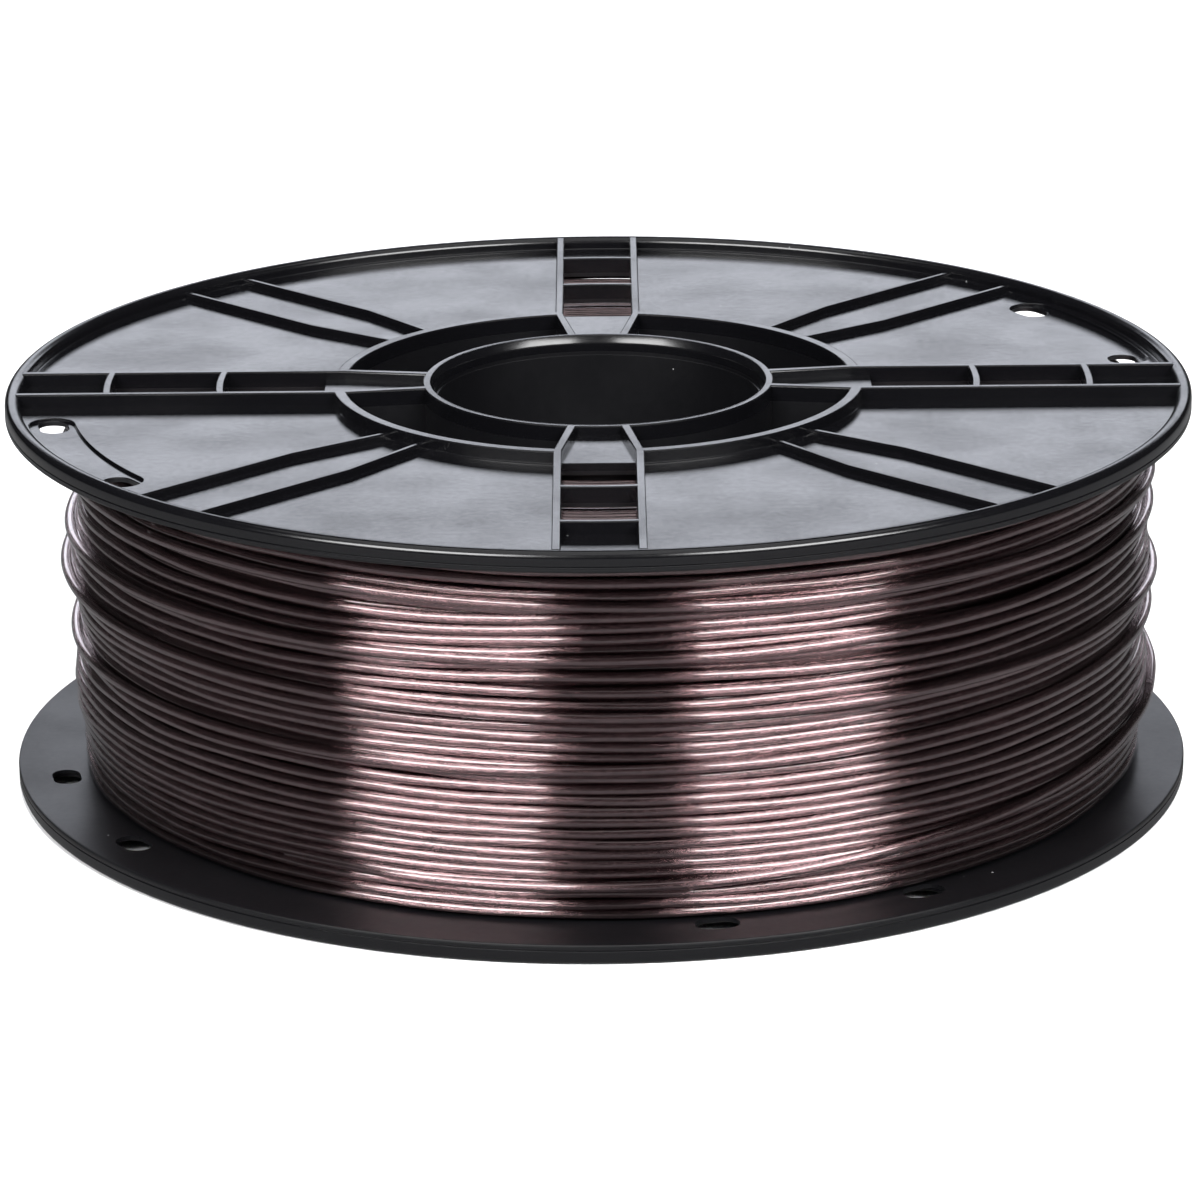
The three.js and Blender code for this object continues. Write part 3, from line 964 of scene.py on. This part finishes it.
def add_camera(scene, studio):
    """The camera, in front of the spool and above it."""
    data = bpy.data.cameras.new("camera")
    data.lens = studio.camera_lens
    data.sensor_width = FILM_WIDTH
    data.clip_start = 0.01
    camera = placed("camera", data)
    back, rise = polar(studio.camera_distance, studio.camera_elevation)
    place = Matrix.Translation((0.0, -back, SPOOL_WIDTH + rise))
    tilt = Matrix.Rotation(math.pi / 2 - studio.camera_tilt, 4, "X")
    camera.matrix_world = place @ tilt @ Matrix.Rotation(studio.camera_roll, 4, "Z")
    scene.camera = camera


def add_floor(name, studio, tone, seen):
    """A large round floor: the one that is seen, or the duller one that the spool reflects."""
    bm = bmesh.new()
    bmesh.ops.create_circle(bm, cap_ends=True, segments=96, radius=studio.floor_radius)
    if not seen:
        bmesh.ops.translate(bm, verts=bm.verts[:], vec=(0, 0, -OVERCUT))
    floor = as_object(name, bm)
    floor.visible_camera = seen
    floor.visible_shadow = not seen
    floor.visible_glossy = not seen
    floor.visible_diffuse = not seen
    floor.data.materials.append(stage_material(name + "_paper", tone))


def add_floor_light(studio):
    """Light from straight above that falls only on the floor that is seen."""
    data = bpy.data.lights.new("floor_light", "SUN")
    data.energy = studio.floor_light
    data.angle = 0.0
    light = placed("floor_light", data)
    lit = bpy.data.collections.new("lit_from_above")
    lit.objects.link(bpy.data.objects["floor"])
    light.light_linking.receiver_collection = lit


def add_lit_wall(name, radius, across, sweep, rise, material):
    """A glowing part of a sphere round the spool.

    It is given its middle's direction, its sweep and the two angles up between which it lies.
    """
    rows, columns = 16, 32
    bm = bmesh.new()
    middle = Vector((0, 0, HALF_WIDTH))
    low, high = rise
    way = Matrix.Rotation(across - sweep / 2, 3, "Z")
    level = way @ Vector((1, 0, 0))
    side = way @ Vector((0, -1, 0))
    start = bm.verts.new(middle + Matrix.Rotation(low, 3, side) @ level * radius)
    bmesh.ops.spin(bm, geom=[start], cent=middle, axis=side, angle=high - low, steps=rows)
    bmesh.ops.spin(
        bm, geom=bm.verts[:] + bm.edges[:], cent=middle, axis=(0, 0, 1), angle=sweep, steps=columns
    )
    wall = as_object(name, bm)
    wall.visible_camera = False
    wall.visible_shadow = False
    wall.data.materials.append(material)


# ---------------- operators


class SpoolOperator:
    """What every operator of this file shares."""

    bl_options = {"REGISTER", "UNDO"}


class SPOOL_OT_halves(SpoolOperator, bpy.types.Operator):
    """Build the upper and lower moulded halves"""

    bl_idname = "spool.halves"
    bl_label = "Moulded Halves"

    def execute(self, context):
        sizes = context.scene.spool_sizes
        plastic = plastic_material(context.scene.spool_colours)
        half_turn, quarter_turn = math.pi, math.pi / 2
        upper_pairs = [sizes.pair_angle + half_turn * i for i in range(2)]
        lower_pairs = [-sizes.pair_angle - quarter_turn * i for i in range(4)]
        upper = moulded_half("moulded_upper_half", sizes, upper_pairs, False)
        lower = moulded_half("moulded_lower_half", sizes, lower_pairs, True)
        lower.data.transform(Matrix.Rotation(math.pi, 4, "X"))
        for piece, node in ((upper, "upper_half"), (lower, "lower_half")):
            piece.data.transform(Matrix.Translation((0, 0, HALF_WIDTH)))
            smooth(piece)
            declare(piece, plastic, "spool_plastic", node)
        return {"FINISHED"}


class SPOOL_OT_winding(SpoolOperator, bpy.types.Operator):
    """Wind the filament: its core, its outer layers and the turns against the flanges"""

    bl_idname = "spool.winding"
    bl_label = "Wound Filament"

    def execute(self, context):
        sizes = context.scene.filament_sizes
        material = filament_material(context.scene.spool_colours)
        lines, _ = winding_layers(sizes)
        pieces = [smooth(as_object("filament_core", winding_core(sizes)))]
        rng = np.random.default_rng(sizes.seed + 1)
        lowest, highest = WINDING_LOW.z + sizes.diameter / 2, WINDING_HIGH.z - sizes.diameter / 2
        lines["filament_lower_turns"] = end_turns(sizes, lowest, rng)
        lines["filament_upper_turns"] = end_turns(sizes, highest, rng)
        pieces += [strand_along(points, name, sizes.diameter) for name, points in lines.items()]
        for piece in pieces:
            declare(piece, material, "filament", "filament_winding")
        return {"FINISHED"}


class SPOOL_OT_strand_end(SpoolOperator, bpy.types.Operator):
    """Lay the strand's last turn over the winding and through its holes"""

    bl_idname = "spool.strand_end"
    bl_label = "Strand End"

    def execute(self, context):
        sizes = context.scene.filament_sizes
        points = strand_end_points(sizes, context.scene.spool_sizes)
        piece = strand_along(points, "filament_strand_end", sizes.diameter)
        declare(piece, bpy.data.materials["silk_filament"], "filament", "filament_end")
        return {"FINISHED"}


class SPOOL_OT_stage(SpoolOperator, bpy.types.Operator):
    """Set up the camera, the pale floor and the studio lights"""

    bl_idname = "spool.stage"
    bl_label = "Stage"

    def execute(self, context):
        studio = context.scene.studio_sizes
        add_camera(context.scene, studio)
        colours = context.scene.spool_colours
        add_floor("floor", studio, colours.floor, True)
        add_floor("floor_bounce", studio, colours.bounce, False)
        add_floor_light(studio)
        glow = stage_material("backdrop_glow", colours.backdrop, studio.backdrop_glow)
        rise = (studio.backdrop_low, studio.backdrop_high)
        behind = math.pi / 2
        add_lit_wall("backdrop", studio.backdrop_radius, behind, studio.backdrop_sweep, rise, glow)
        glow = stage_material("overhead_glow", WHITE, studio.overhead_glow)
        rise = (studio.overhead_low, math.radians(89))
        add_lit_wall("overhead", studio.softbox_distance, 0.0, 2 * math.pi, rise, glow)
        glow = stage_material("softbox_glow", WHITE, studio.softbox_glow)
        rise = (studio.softbox_low, studio.softbox_high)
        for name in ("softbox_left", "softbox_right"):
            across = getattr(studio, name)
            add_lit_wall(name, studio.softbox_distance, across, studio.softbox_width, rise, glow)
        world = bpy.data.worlds.new("room")
        world.use_nodes = True
        background = world.node_tree.nodes["Background"]
        background.inputs["Strength"].default_value = studio.room_strength
        background.inputs["Color"].default_value = (*WHITE, 1.0)
        context.scene.world = world
        context.scene.view_settings.view_transform = "Standard"
        return {"FINISHED"}


class SPOOL_PT_panel(bpy.types.Panel):
    """The spool's operators in the 3D view's sidebar"""

    bl_idname = "SPOOL_PT_panel"
    bl_label = "Filament Spool"
    bl_space_type = "VIEW_3D"
    bl_region_type = "UI"
    bl_category = "Spool"

    def draw(self, context):
        for operator in OPERATORS:
            self.layout.operator(operator.bl_idname)


GROUPS = {
    "spool_sizes": SpoolSizes,
    "filament_sizes": FilamentSizes,
    "spool_colours": SpoolColours,
    "studio_sizes": StudioSizes,
}
OPERATORS = (SPOOL_OT_stage, SPOOL_OT_halves, SPOOL_OT_winding, SPOOL_OT_strand_end)


def register():
    """Registers the property groups, the operators and the panel."""
    for name, group in GROUPS.items():
        bpy.utils.register_class(group)
        setattr(bpy.types.Scene, name, bpy.props.PointerProperty(type=group))
    for operator in OPERATORS:
        bpy.utils.register_class(operator)
    bpy.utils.register_class(SPOOL_PT_panel)


def unregister():
    """Takes back what register does."""
    bpy.utils.unregister_class(SPOOL_PT_panel)
    for operator in reversed(OPERATORS):
        bpy.utils.unregister_class(operator)
    for name, group in GROUPS.items():
        delattr(bpy.types.Scene, name)
        bpy.utils.unregister_class(group)


def main():
    """Builds everything."""
    register()
    bpy.ops.spool.stage()
    bpy.ops.spool.halves()
    bpy.ops.spool.winding()
    bpy.ops.spool.strand_end()


if __name__ == "__main__":
    main()
